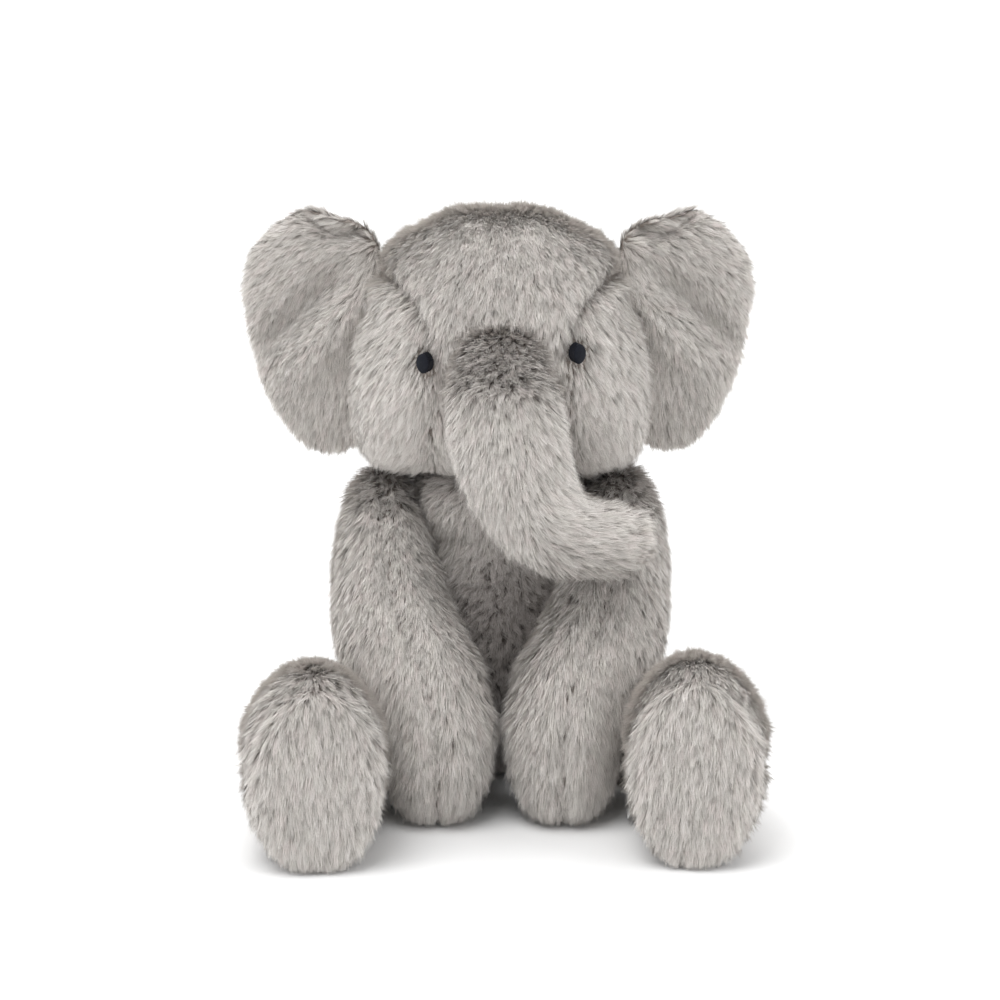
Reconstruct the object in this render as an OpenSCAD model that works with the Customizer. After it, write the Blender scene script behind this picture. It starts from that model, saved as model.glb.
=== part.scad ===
// Seated plush elephant, sewn from faux-fur panels over fibre stuffing.
// Millimetres, +Z up, the toy faces -Y, and the origin is the middle of the seat's resting face.
// Left and right are the toy's own: its left side is +X.

/* [Head] */
// Half the width of the head across the cheeks
head_half_w = 72; // [66:1:76]
// Half the height of the head at its middle
head_half_h = 67; // [60:1:68]
// Half the depth of the head, front to back
head_half_d = 62; // [58:1:66]
// Height of the middle of the head above the seat
head_z = 216; // [215:1:222]

/* [Body] */
// Half the width of the body at the hips
body_half_w = 64; // [58:1:66]
// Height of the top of the body, under the chin
body_top = 146; // [140:1:146]

/* [Limbs] */
// Half the width of a hand
hand_r = 30; // [26:1:31]
// Half the width of a foot at its sole
foot_half_w = 35; // [30:1:37]
// Half the height of a foot at its sole
foot_half_h = 51; // [44:1:52]
// Half the width of the trunk at its root
trunk_r = 29; // [24:1:30]

/* [Fabric] */
// Thickness of a plush panel, backing and packed pile
cloth_t = 3.5; // [2.5:0.5:4]
// Half the height of an embroidered eye
eye_half_h = 4.9; // [3:0.1:6]

/* [Hidden] */

fur = [0.72, 0.69, 0.66];
fur_dark = [0.55, 0.52, 0.49];
fibre = [0.95, 0.94, 0.90];
navy = [0.07, 0.08, 0.12];

stuff_gap = 1.2;            // air between a panel's back and its stuffing
stuff_in = cloth_t + stuff_gap;

// ---------------------------------------------------------------- soft forms
// A form is [rows, side, end0, end1, balls, floor, cup]. Each row is [x, y, z, half width, half
// depth] along the spine, side is the direction half width lies in, and the ends' powers set how
// blunt they are. The form gives way to the balls, stays above the floor, and its edges bend
// forward by cup. A last entry, if there is one, holds all its rings square to that direction.

// Catmull-Rom curve through the rows, for s from 0 to 1.
function spline(rows, s) =
  let (
    n = len(rows) - 1, k = min(max(s, 0) * n, n - 0.00001), i = floor(k), t = k - i,
    a = rows[max(i - 1, 0)], b = rows[i], c = rows[i + 1], d = rows[min(i + 2, n)]
  )
  0.5 * (2 * b + (c - a) * t + (2 * a - 5 * b + 4 * c - d) * t * t
         + (3 * b - a - 3 * c + d) * t * t * t);

function unit(v) = v / max(norm(v), 0.000001);
function xyz(row) = [row[0], row[1], row[2]];
function along(angle) = (1 - cos(angle)) / 2;
function spine_way(form, angle) =
  len(form) > 7 ? form[7] :
  let (s = min(max(along(angle), 0.01), 0.99))
  unit(xyz(spline(form[0], s + 0.01)) - xyz(spline(form[0], s - 0.01)));

// A point of the form's surface: angle runs 0 to 180 from end to end, and v is round the spine.
function skin_point(form, angle, v) =
  let (
    row = spline(form[0], along(angle)), way = spine_way(form, angle),
    wide = unit(form[1] - (form[1] * way) * way), deep = cross(way, wide),
    full = pow(max(sin(angle), 0), angle < 90 ? form[2] : form[3])
  )
  xyz(row) + full * (row[3] * cos(v) * wide + (row[4] * sin(v) + form[6] * cos(v) * cos(v)) * deep);

// A point of the form's middle surface, drawn in a little from its ends and edges.
function middle_point(form, angle, v) =
  let (
    inner = 8 + angle * 164 / 180,
    row = spline(form[0], along(inner)), way = spine_way(form, inner),
    wide = unit(form[1] - (form[1] * way) * way), deep = cross(way, wide),
    full = 0.95 * pow(max(sin(angle), 0), angle < 90 ? form[2] : form[3])
  )
  xyz(row) + full * (row[3] * cos(v) * wide + form[6] * cos(v) * cos(v) * deep
                     + 0.15 * sign(sin(v)) * deep);

function skin_normal(form, angle, v) =
  angle <= 0 ? -spine_way(form, 0) : angle >= 180 ? spine_way(form, 180) :
  let (
    a = min(max(angle, 4), 176),
    du = skin_point(form, a + 2, v) - skin_point(form, a - 2, v),
    dv = skin_point(form, a, v + 3) - skin_point(form, a, v - 3)
  )
  unit(cross(dv, du));

// A point gives way to a ball, by moving out to its surface.
function give_way(p, balls, more, k = 0) =
  k >= len(balls) ? p :
  let (away = p - balls[k][0], r = balls[k][1] + more)
  give_way(norm(away) < r ? balls[k][0] + r * unit(away) : p, balls, more, k + 1);

// The surface, or a surface inset from it, cleared of the form's balls and of the floor.
function inset_point(form, angle, v, inset) =
  let (
    raw = skin_point(form, angle, v) - inset * skin_normal(form, angle, v),
    p = give_way(raw, form[4], inset)
  )
  [p[0], p[1], max(p[2], form[5] + inset)];

// ---------------------------------------------------------------- meshing
// A grid of points, with a single point where a row is a pole.
function grid_id(i, j, ni, nj, pole0, pole1) =
  i == 0 ? (pole0 ? 0 : j)
         : (pole0 ? 1 : nj + 1) + (i - 1) * (nj + 1) + (i == ni && pole1 ? 0 : j);
function grid_size(ni, nj, pole0, pole1) =
  (pole0 ? 1 : nj + 1) + (ni - 1) * (nj + 1) + (pole1 ? 1 : nj + 1);
function row_count(i, ni, nj, pole0, pole1) = (i == 0 && pole0) || (i == ni && pole1) ? 0 : nj;

function sheet_faces(ni, nj, pole0, pole1, base, flip) = [
  for (i = [0 : ni - 1], j = [0 : nj - 1])
    let (
      a = base + grid_id(i, j, ni, nj, pole0, pole1),
      b = base + grid_id(i, j + 1, ni, nj, pole0, pole1),
      c = base + grid_id(i + 1, j + 1, ni, nj, pole0, pole1),
      d = base + grid_id(i + 1, j, ni, nj, pole0, pole1)
    )
    each concat(a == b ? [] : [flip ? [a, b, c] : [a, c, b]],
                c == d ? [] : [flip ? [a, c, d] : [a, d, c]])
];

function strip(outer, inner, flip) = [
  for (k = [0 : len(outer) - 2])
    each concat(
      outer[k] == outer[k + 1] ? [] : [flip ? [outer[k], inner[k], outer[k + 1]]
                                            : [outer[k], outer[k + 1], inner[k]]],
      inner[k] == inner[k + 1] ? [] : [flip ? [inner[k], inner[k + 1], outer[k + 1]]
                                            : [inner[k], outer[k + 1], inner[k + 1]]])
];

// A panel of cloth cut from a form: from(v) and to(v) are its ends, in degrees along the spine.
// A padded panel is filled back to the form's middle surface instead of being t thick.
module panel(form, from, to, v0, v1, ni, nj, t = cloth_t, padded = false) {
  pole0 = from(v0) <= 0;
  pole1 = to(v0) >= 180;
  function place(i, j, inset) =
    let (v = v0 + (v1 - v0) * j / nj, angle = from(v) + (to(v) - from(v)) * i / ni)
    padded && inset > 0 ? middle_point(form, angle, v) : inset_point(form, angle, v, inset);
  function layer(inset) = [
    for (i = [0 : ni], j = [0 : row_count(i, ni, nj, pole0, pole1)]) place(i, j, inset)
  ];
  count = grid_size(ni, nj, pole0, pole1);
  function edge(i0, j0, di, dj, n, base) =
    [for (k = [0 : n]) base + grid_id(i0 + di * k, j0 + dj * k, ni, nj, pole0, pole1)];
  side0 = strip(edge(0, 0, 1, 0, ni, 0), edge(0, 0, 1, 0, ni, count), true);
  side1 = strip(edge(0, nj, 1, 0, ni, 0), edge(0, nj, 1, 0, ni, count), false);
  end0 = pole0 ? [] : strip(edge(0, 0, 0, 1, nj, 0), edge(0, 0, 0, 1, nj, count), false);
  end1 = pole1 ? [] : strip(edge(ni, 0, 0, 1, nj, 0), edge(ni, 0, 0, 1, nj, count), true);
  polyhedron(
    points = concat(layer(0), layer(t)),
    faces = concat(
      sheet_faces(ni, nj, pole0, pole1, 0, false),
      sheet_faces(ni, nj, pole0, pole1, count, true), side0, side1, end0, end1),
    convexity = 6);
}

// A closed solid over the whole form, inset from it.
module filled(form, inset, ni, nj) {
  last = 1 + (ni - 1) * nj;
  function at(i, j) = i <= 0 ? 0 : i >= ni ? last : 1 + (i - 1) * nj + (j % nj);
  polyhedron(
    points = concat(
      [inset_point(form, 0, 0, inset)],
      [for (i = [1 : ni - 1], j = [0 : nj - 1])
        inset_point(form, 180 * i / ni, 360 * j / nj, inset)],
      [inset_point(form, 180, 0, inset)]),
    faces = [
      for (i = [0 : ni - 1], j = [0 : nj - 1])
        each concat(i == 0 ? [] : [[at(i, j), at(i + 1, j + 1), at(i, j + 1)]],
                    i == ni - 1 ? [] : [[at(i, j), at(i + 1, j), at(i + 1, j + 1)]])
    ],
    convexity = 6);
}

// A disc of cloth over a form's start, or over its finish, reaching reach(v) degrees along it.
module cap(form, reach, nj, ni, finish, t = cloth_t) {
  function angle(i, v) = finish ? 180 - reach(v) * i / ni : reach(v) * i / ni;
  function layer(inset) = concat(
    [inset_point(form, angle(0, 0), 0, inset)],
    [for (i = [1 : ni], j = [0 : nj - 1])
      let (v = 360 * j / nj) inset_point(form, angle(i, v), v, inset)]);
  count = 1 + ni * nj;
  function at(i, j) = i == 0 ? 0 : 1 + (i - 1) * nj + (j % nj);
  function turned(f, over) = over ? [f[0], f[2], f[1]] : f;
  function sheet(base, over) = [
    for (i = [0 : ni - 1], j = [0 : nj - 1])
      each concat(
        i == 0 ? [] : [turned([base + at(i, j), base + at(i + 1, j + 1), base + at(i, j + 1)], over)],
        [turned([base + at(i, j), base + at(i + 1, j), base + at(i + 1, j + 1)], over)])
  ];
  rim = [
    for (j = [0 : nj - 1])
      let (a = at(ni, j), b = at(ni, j + 1))
      each [turned([a, count + a, b], finish), turned([b, count + a, count + b], finish)]
  ];
  polyhedron(points = concat(layer(0), layer(t)),
             faces = concat(sheet(0, finish), sheet(count, !finish), rim), convexity = 6);
}

// ---------------------------------------------------------------- this toy's forms
X = [1, 0, 0];
Y = [0, 1, 0];
Z = [0, 0, 1];
hip_left = [52, -50, 34];
hip_right = [-50, -50, 34];
hip_r = 26;
trunk_root = [0, -72, 206];

body_rows = [
  [0, 5, -5, body_half_w - 5, 51], [0, 4, 34, body_half_w, 57], [0, 2, 72, body_half_w - 5, 53],
  [0, -2, 110, 50, 45], [0, -5, body_top, 41, 38]
];
hip_balls = [[hip_left, hip_r + 4], [hip_right, hip_r + 4]];
hip_room = [[hip_left, hip_r + 10], [hip_right, hip_r + 10]];
body_form = [body_rows, X, 0.38, 0.6, hip_balls, 0, 0];
body_fill = [body_rows, X, 0.38, 0.6, hip_room, 22, 0];
pellet_form = [
  [[0, 5, 5, 37, 33], [0, 5, 24.5, 48, 43]], X, 0.3, 0.3, hip_room, 0, 0
];

// The head's spine runs from cheek to cheek, so its cheeks are the form's two ends.
head_rows = [
  [-head_half_w, -8, head_z - 26, head_half_d - 8, 58],
  [-head_half_w / 2, -7, head_z - 3, head_half_d + 1, head_half_h + 2.5],
  [0, -6, head_z, head_half_d, head_half_h],
  [head_half_w / 2, -7, head_z - 3, head_half_d + 1, head_half_h + 2.5],
  [head_half_w, -8, head_z - 26, head_half_d - 8, 58]
];
head_form = [head_rows, Y, 0.75, 0.75, [[trunk_root, trunk_r + 2]], -99, 0, X];
head_fill = [head_rows, Y, 0.75, 0.75, [[trunk_root, trunk_r + 10]], -99, 0, X];

// The trunk leaves the face, hangs down over the chest and curls to the toy's left.
trunk_form = [[
  [0, -76, 231, trunk_r - 3, trunk_r], [1, -83, 206, trunk_r - 3, trunk_r],
  [5, -91, 180, trunk_r - 4, trunk_r - 2], [13, -95, 158, trunk_r - 6, trunk_r - 6],
  [26, -95, 142, trunk_r - 9, trunk_r - 9], [44, -94, 136.5, trunk_r - 11, trunk_r - 11],
  [68, -91, 137, trunk_r - 11, trunk_r - 11]
], Y, 0.5, 0.2, [], -99, 0];

// The arms lie on the legs, and give way to them.
arm_right_form = [[
  [-57, -4, 149.5, 20, 20], [-58, -20, 131, 22, 23], [-56.5, -46, 102, 25, 26],
  [-47, -76, 74, 29, 28], [-32, -97, 50, hand_r - 1, hand_r - 2],
  [-30.5, -104, 24, hand_r - 4, hand_r - 3], [-30, -104, -1, hand_r - 5, hand_r - 4]
], X, 0.6, 0.42, [
  [[-57, -62, 33], 31], [[-68, -72, 34], 31], [[-76, -84, 35], 31.5], [[-85, -97, 36], 32.5]
], 0, 0];
arm_left_form = [[
  [59, -4, 149, 20, 20], [60, -20, 130, 22, 23], [57, -46, 101, 25, 26],
  [47, -76, 73, 29, 28], [32, -97, 50, hand_r - 1, hand_r - 2],
  [30.5, -104, 24, hand_r - 4, hand_r - 3], [30, -104, -1, hand_r - 5, hand_r - 4]
], X, 0.6, 0.42, [
  [[59, -62, 33], 31], [[70, -72, 34], 31], [[78, -83, 35], 31.5], [[87, -96, 36], 32.5]
], 0, 0];

leg_right_form = [[
  [-34, -30, 34, 24, 25], [-62, -62, 32, 25, 25], [-84, -97, 36, 24, 29],
  [-88, -139, 44, 30, 43], [-83, -181, 48, foot_half_w + 1, foot_half_h + 1]
], X, 0.5, 0.26, [], 0, 0];
leg_left_form = [[
  [36, -30, 34, 24, 25], [64, -62, 32, 25, 25], [86, -95, 36, 24, 29],
  [92, -134, 45, 30, 44], [89, -174, 50, foot_half_w + 1, foot_half_h + 2]
], X, 0.5, 0.26, [], 0, 0];

// Ears are cupped petals hung from the sides of the head, with their spines running down them.
ear_right_form = [[
  [-86, 8, 281, 22, 7], [-93.2, 9, 254, 36, 10], [-98.2, 10, 223, 29, 10],
  [-96.8, 9, 194, 23, 9], [-90, 8, 164, 19.5, 7]
], X, 0.55, 0.6, [], -99, 6];
ear_left_form = [[
  [86, 8, 281, 22, 7], [92.5, 9, 254, 35.3, 10], [96.9, 10, 222, 27.6, 10],
  [95.8, 9, 194, 22, 9], [90, 8, 165, 19, 7]
], X, 0.55, 0.6, [], -99, 6];

tail_form = [[
  [0, 63.5, 40, 5, 5], [1, 67, 31, 5, 5], [3, 70, 21, 4.5, 4.5], [6, 71, 12.6, 4, 4]
], X, 0.4, 0.4, [], 0, 0];
tuft_form = [[[6.4, 71, 11.8, 5, 5], [8, 71, 6, 6.5, 6.5], [10, 71, -1, 5, 5]], X, 0.5, 0.5, [], 0, 0];

// ---------------------------------------------------------------- body
module belly_panel() color(fur) panel(body_form, function(v) 30, function(v) 170, 200.2, 339.8, 14, 12);
module back_panel_left()
  color(fur) panel(body_form, function(v) 30, function(v) 170, -19.8, 89.7, 14, 9);
module back_panel_right()
  color(fur) panel(body_form, function(v) 30, function(v) 170, 90.3, 199.8, 14, 9);
module seat_panel() color(fur_dark) cap(body_form, function(v) 29.4, 24, 4, false);
module body_stuffing() color(fibre) filled(body_fill, stuff_in, 14, 20);
module pellet_bag() color([0.90, 0.89, 0.84]) filled(pellet_form, 0, 8, 16);

// Seven thread bars close the back seam after stuffing.
module closing_stitches() color(fur_dark)
  for (k = [0 : 6])
    let (p = inset_point(body_form, 82 + 4.5 * k, 90, -0.75))
    filled([[[p[0] - 3, p[1], p[2], 0.6, 0.6], [p[0] + 3, p[1], p[2], 0.6, 0.6]], Y, 0.4, 0.4,
            [], 0, 0], 0, 4, 6);

// The cord of gathered cloth and thread that joins head to body.
module neck_thread() {
  n = 24;
  m = 8;
  function at(i, j) = (i % n) * m + j % m;
  color(fur_dark) polyhedron(
    points = [for (i = [0 : n - 1], j = [0 : m - 1])
      let (a = 360 * i / n, b = 360 * j / m, r = 23.5 + 2.2 * cos(b))
      [r * cos(a), -6 + r * sin(a), 146.5 + 2.2 * sin(b)]],
    faces = [for (i = [0 : n - 1], j = [0 : m - 1])
      each [[at(i, j), at(i, j + 1), at(i + 1, j + 1)], [at(i, j), at(i + 1, j + 1), at(i + 1, j)]]]);
}

module care_label() color([0.97, 0.97, 0.95])
  translate([69, -112, 21]) rotate([0, 24, 0]) translate([-0.4, -6, -18]) cube([0.8, 12, 16]);

module tail_tube() color(fur) filled(tail_form, 0, 10, 10);
module tail_tuft() color(fur_dark) filled(tuft_form, 0, 8, 10);

// ---------------------------------------------------------------- head
// The seam between gusset and cheek passes the eye and rises to the ear.
function cheek_seam(v) = 62 - 19 * pow(max(sin(v), 0), 2);
module head_gusset() color(fur)
  panel(head_form, function(v) cheek_seam(v) + 0.3, function(v) 179.7 - cheek_seam(v),
        -20, 196, 10, 22);
module chin_panel() color(fur)
  panel(head_form, function(v) cheek_seam(v) + 0.3, function(v) 179.7 - cheek_seam(v),
        196.4, 339.6, 10, 14);
module cheek_panel_right()
  color(fur) cap(head_form, function(v) cheek_seam(v) - 0.1, 36, 7, false);
module cheek_panel_left()
  color(fur) cap(head_form, function(v) cheek_seam(v) - 0.1, 36, 7, true);
module head_stuffing() color(fibre) filled(head_fill, stuff_in, 16, 24);

// Satin-stitched ovals standing on the face.
module eye(angle, v) {
  p = skin_point(head_form, angle, v);
  n = skin_normal(head_form, angle, v);
  a = p + 0.5 * n;
  b = p + 2 * n;
  w = eye_half_h * 0.78;
  color(navy) filled([[[a[0], a[1], a[2], w, eye_half_h], [b[0], b[1], b[2], w, eye_half_h]],
                      X, 0.45, 0.6, [], -99, 0], 0, 6, 14);
}
module eye_right() eye(59.9, 177.5);
module eye_left() eye(121, 173);

module ear_front(form)
  color(fur) panel(form, function(v) 0, function(v) 180, 5, 175, 12, 10, padded = true);
module ear_back(form)
  color(fur) panel(form, function(v) 0, function(v) 180, 185, 355, 12, 10, padded = true);
module ear_left_front() ear_front(ear_left_form);
module ear_left_back() ear_back(ear_left_form);
module ear_right_front() ear_front(ear_right_form);
module ear_right_back() ear_back(ear_right_form);

// ---------------------------------------------------------------- trunk
// Two panels run the length of a limb, with seams at v0 and v0 + 180.
module half_sleeve(form, v0, to, ni, nj)
  color(fur) panel(form, function(v) 0, function(v) to, v0 + 0.4, v0 + 179.6, ni, nj);

module trunk_top_panel() half_sleeve(trunk_form, 90, 152, 18, 8);
module trunk_under_panel() half_sleeve(trunk_form, -90, 152, 18, 8);
module trunk_stuffing() color(fibre) filled(trunk_form, stuff_in, 16, 12);
module trunk_end_cap() color(fur) cap(trunk_form, function(v) 27.5, 16, 3, true);

// ---------------------------------------------------------------- arms and legs
module arm_left_outer() half_sleeve(arm_left_form, -90, 180, 14, 8);
module arm_left_inner() half_sleeve(arm_left_form, 90, 180, 14, 8);
module arm_left_stuffing() color(fibre) filled(arm_left_form, stuff_in, 14, 16);
module arm_right_outer() half_sleeve(arm_right_form, 90, 180, 14, 8);
module arm_right_inner() half_sleeve(arm_right_form, -90, 180, 14, 8);
module arm_right_stuffing() color(fibre) filled(arm_right_form, stuff_in, 14, 16);

// The sole is a disc let into the end of the leg, lower at the toes.
function sole_reach(v) = 34 - 10 * max(sin(v), 0);
module leg_sleeve(form, v0)
  color(fur) panel(form, function(v) 0, function(v) 179.2 - sole_reach(v), v0 + 0.4, v0 + 179.6, 12, 8);
module sole(form) color(fur) cap(form, function(v) sole_reach(v), 24, 4, true);
module leg_left_upper() leg_sleeve(leg_left_form, 0);
module leg_left_under() leg_sleeve(leg_left_form, 180);
module leg_left_sole() sole(leg_left_form);
module leg_left_stuffing() color(fibre) filled(leg_left_form, stuff_in, 12, 14);
module leg_right_upper() leg_sleeve(leg_right_form, 0);
module leg_right_under() leg_sleeve(leg_right_form, 180);
module leg_right_sole() sole(leg_right_form);
module leg_right_stuffing() color(fibre) filled(leg_right_form, stuff_in, 12, 14);

belly_panel();
back_panel_left();
back_panel_right();
seat_panel();
body_stuffing();
pellet_bag();
closing_stitches();
neck_thread();
head_gusset();
chin_panel();
cheek_panel_left();
cheek_panel_right();
head_stuffing();
eye_left();
eye_right();
ear_left_front();
ear_left_back();
ear_right_front();
ear_right_back();
trunk_top_panel();
trunk_under_panel();
trunk_stuffing();
trunk_end_cap();
arm_left_outer();
arm_left_inner();
arm_left_stuffing();
arm_right_outer();
arm_right_inner();
arm_right_stuffing();
leg_left_upper();
leg_left_under();
leg_left_sole();
leg_left_stuffing();
leg_right_upper();
leg_right_under();
leg_right_sole();
leg_right_stuffing();
care_label();
tail_tube();
tail_tuft();
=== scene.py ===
# %% [markdown]
# # A seated plush elephant
# This lesson dresses a jointed, imported model of a soft toy in fur. The imported model gives every
# panel's place and every body's joint. Here each body gets a soft sewn skin, and each skin gets a
# pile of combed locks.

# %% Load the frame
import math

import bmesh
import bpy
import numpy as np
from mathutils import Matrix, Vector
from mathutils.bvhtree import BVHTree


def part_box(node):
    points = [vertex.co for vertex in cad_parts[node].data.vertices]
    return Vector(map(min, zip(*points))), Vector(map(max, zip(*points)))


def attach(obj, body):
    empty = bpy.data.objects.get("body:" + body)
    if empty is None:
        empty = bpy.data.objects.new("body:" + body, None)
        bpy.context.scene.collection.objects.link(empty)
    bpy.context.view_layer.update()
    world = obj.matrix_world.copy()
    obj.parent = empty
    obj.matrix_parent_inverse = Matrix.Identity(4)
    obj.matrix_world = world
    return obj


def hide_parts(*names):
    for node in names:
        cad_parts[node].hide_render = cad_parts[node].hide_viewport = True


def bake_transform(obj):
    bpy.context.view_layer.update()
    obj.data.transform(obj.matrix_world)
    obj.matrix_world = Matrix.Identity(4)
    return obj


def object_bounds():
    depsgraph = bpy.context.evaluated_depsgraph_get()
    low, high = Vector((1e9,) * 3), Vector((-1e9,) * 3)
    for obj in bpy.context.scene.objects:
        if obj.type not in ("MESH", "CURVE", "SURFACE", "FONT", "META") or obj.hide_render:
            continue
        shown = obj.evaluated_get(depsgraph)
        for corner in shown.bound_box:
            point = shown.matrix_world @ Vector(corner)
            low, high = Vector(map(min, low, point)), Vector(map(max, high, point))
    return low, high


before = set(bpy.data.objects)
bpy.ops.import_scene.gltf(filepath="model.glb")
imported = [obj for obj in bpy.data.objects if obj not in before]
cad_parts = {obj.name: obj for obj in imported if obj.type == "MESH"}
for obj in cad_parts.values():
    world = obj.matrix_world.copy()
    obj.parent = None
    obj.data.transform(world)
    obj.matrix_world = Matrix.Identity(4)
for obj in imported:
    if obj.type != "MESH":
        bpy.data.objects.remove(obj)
scene = bpy.context.scene
MM = 0.001
cad_low, cad_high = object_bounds()
height = cad_high.z
print("height", round(height, 4), "width", round(cad_high.x - cad_low.x, 4))

# %% [markdown]
# ## The camera
# A long lens a metre and a half away keeps the toy's proportions calm, and looking down a little
# shows the tops of the feet and the way the hands rest between them.

# %% Camera
VIEW_DOWN = math.radians(13)
CAMERA_AWAY = 1.528
LENS_MM = 110.0
look_at = Vector((0, -0.022, 0.49 * height))


def add_camera():
    data = bpy.data.cameras.new("camera")
    data.lens = LENS_MM
    data.sensor_width = 36.0
    data.clip_start = 0.05
    camera = bpy.data.objects.new("camera", data)
    scene.collection.objects.link(camera)
    camera.location = look_at + CAMERA_AWAY * Vector((0, -math.cos(VIEW_DOWN), math.sin(VIEW_DOWN)))
    camera.rotation_euler = (math.pi / 2 - VIEW_DOWN, 0, 0)
    scene.camera = camera
    print("camera at", [round(x, 3) for x in camera.location])


add_camera()

# %% [markdown]
# ## Colours and finishes
# The pile is one warm grey fibre. Its colour is dark and brownish at its root, painted shade for
# where light hardly reaches among the locks, and pale at its tip, so a parting or a swirl shows up
# dark. Where the pile stands up, it is painted darker still, as more painted shade.
# Each lock also carries its own slight tint. A pattern can only be baked into a limited number of
# pictures when the toy is exported, so each mesh holds a plain finish of the same colour beneath
# the patterned one on its object.

# %% Materials
# Painted shade: the pile's colours run from a dark root, where light hardly reaches, to a pale tip.
FUR_ROOT = (0.31, 0.278, 0.262)
FUR_LOW = (0.47, 0.438, 0.418)
FUR_HIGH = (0.65, 0.618, 0.594)
FUR_TIP = (0.76, 0.732, 0.71)
# Painted shade: the darker colours that the pile takes where it stands up.
FUR_SHADED_ROOT = (0.13, 0.108, 0.096)
FUR_SHADED_LOW = (0.34, 0.305, 0.285)
FUR_SHADED_TIP = (0.70, 0.655, 0.63)
FUR_PLAIN = (0.60, 0.57, 0.54)


def plain_finish(name, colour, roughness):
    material = bpy.data.materials.new(name)
    material.use_nodes = True
    shader = material.node_tree.nodes["Principled BSDF"]
    shader.inputs["Base Color"].default_value = (*colour, 1)
    shader.inputs["Roughness"].default_value = roughness
    shader.inputs["Specular IOR Level"].default_value = 0.2
    material.diffuse_color = (*colour, 1)
    return material


def node(tree, kind, **settings):
    made = tree.nodes.new(kind)
    for name, value in settings.items():
        setattr(made, name, value)
    return made


def feed(tree, socket, value):
    """Links a socket to an output, or sets it to a constant."""
    if hasattr(value, "is_output"):
        tree.links.new(value, socket)
    else:
        socket.default_value = value


def attribute(tree, name):
    return node(tree, "ShaderNodeAttribute", attribute_name=name).outputs["Fac"]


def ramp(tree, factor, stops):
    made = node(tree, "ShaderNodeValToRGB")
    elements = made.color_ramp.elements
    while len(elements) < len(stops):
        elements.new(0.5)
    for element, (place, colour) in zip(elements, stops):
        element.position = place
        element.color = (*colour, 1)
    tree.links.new(factor, made.inputs["Fac"])
    return made.outputs["Color"]


def mixed(tree, kind, factor, a, b):
    made = node(tree, "ShaderNodeMix", data_type="RGBA", blend_type=kind)
    for index, value in ((0, factor), (6, a), (7, b)):
        feed(tree, made.inputs[index], value)
    return made.outputs[2]


def grained(material, scale, stops):
    """Colours a material by fine noise in its object's own space."""
    tree = material.node_tree
    noise = node(tree, "ShaderNodeTexNoise")
    noise.inputs["Scale"].default_value = scale
    tree.links.new(node(tree, "ShaderNodeTexCoord").outputs["Object"], noise.inputs["Vector"])
    tree.links.new(ramp(tree, noise.outputs["Fac"], stops),
                   tree.nodes["Principled BSDF"].inputs["Base Color"])
    return material


def pile_finish():
    """Dark roots as painted shade, pale tips, a tint that differs from lock to lock, and painted
    shade where the pile stands up.
    """
    material = plain_finish("plush_pile", FUR_PLAIN, 0.75)
    tree = material.node_tree
    shader = tree.nodes["Principled BSDF"]
    shader.inputs["Sheen Weight"].default_value = 0.25
    shader.inputs["Sheen Roughness"].default_value = 0.6
    # Painted shade: each hair is dark at its root and pale at its tip.
    fibre = ramp(tree, attribute(tree, "along"),
                 [(0.0, FUR_ROOT), (0.2, FUR_LOW), (0.45, FUR_HIGH), (0.8, FUR_TIP)])
    tint = ramp(tree, attribute(tree, "tint"),
                [(0.0, (0.80, 0.80, 0.78)), (0.35, (0.97, 0.97, 0.95)), (0.6, (1.0, 0.965, 0.955)),
                 (0.8, (0.975, 0.985, 0.95)), (1.0, (1.09, 1.085, 1.08))])
    colour = mixed(tree, "MULTIPLY", 1.0, fibre, tint)
    # Painted shade: where the pile stands, its colour is mixed toward the darker colours.
    shaded_colour = ramp(tree, attribute(tree, "along"),
                 [(0.0, FUR_SHADED_ROOT), (0.35, FUR_SHADED_LOW), (1.0, FUR_SHADED_TIP)])
    colour = mixed(tree, "MIX", attribute(tree, "deep"), colour, shaded_colour)
    hair = ramp(tree, attribute(tree, "shade"),
                [(0.0, (0.62, 0.60, 0.585)), (0.16, (0.86, 0.85, 0.84)), (0.45, (1, 1, 1)),
                 (1.0, (1.07, 1.07, 1.07))])
    colour = mixed(tree, "MULTIPLY", 1.0, colour, hair)
    tree.links.new(colour, shader.inputs["Base Color"])
    return material


plain_pile = plain_finish("plush_plain", FUR_PLAIN, 0.8)
patterned_pile = pile_finish()


def backing_finish():
    """The knitted backing that the pile grows from, seen only between the locks. Its dark brown is
    painted shade for the gaps between the locks.
    """
    return grained(plain_finish("plush_backing", FUR_LOW, 0.9), 900,
                   [(0.3, (0.15, 0.125, 0.11)), (0.7, (0.27, 0.24, 0.215))])


# Painted shade: the backing is dark so the gaps between the locks look shaded.
plain_backing = plain_finish("backing_plain", (0.21, 0.185, 0.165), 0.9)
patterned_backing = backing_finish()


def dress(piece, plain, patterned):
    """The mesh holds the plain finish, and the object wears the patterned one."""
    piece.data.materials.clear()
    piece.data.materials.append(plain)
    piece.material_slots[0].link = "OBJECT"
    piece.material_slots[0].material = patterned


# %% [markdown]
# ## Sewn skins
# A soft toy's shape is its sewn cover, blown out by stuffing and held in at the seams. Each body's
# panels are merged and voxel remeshed into one skin. Its points near a seam are found by how close
# they lie to a second panel. A short cloth simulation under pressure then puffs the panels while
# the seams hold.

# %% Skin helpers
VOXEL = 4.0 * MM
THIN_VOXEL = 1.8 * MM
SEAM_WIDTH = 4.5 * MM
FURROW = 2.6 * MM
PUFF_CAP = 2.0 * MM
FLOOR_GAP = 1.0 * MM
SHORT_WIDTH = 2.2 * MM
SEAM_SHORTENING = 0.4
FAIRING_REACH = 20 * MM
PRESSURE = 4
CLOTH_FRAMES = 14


def coordinates(mesh):
    co = np.zeros(len(mesh.vertices) * 3)
    mesh.vertices.foreach_get("co", co)
    return co.reshape(-1, 3)


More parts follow.
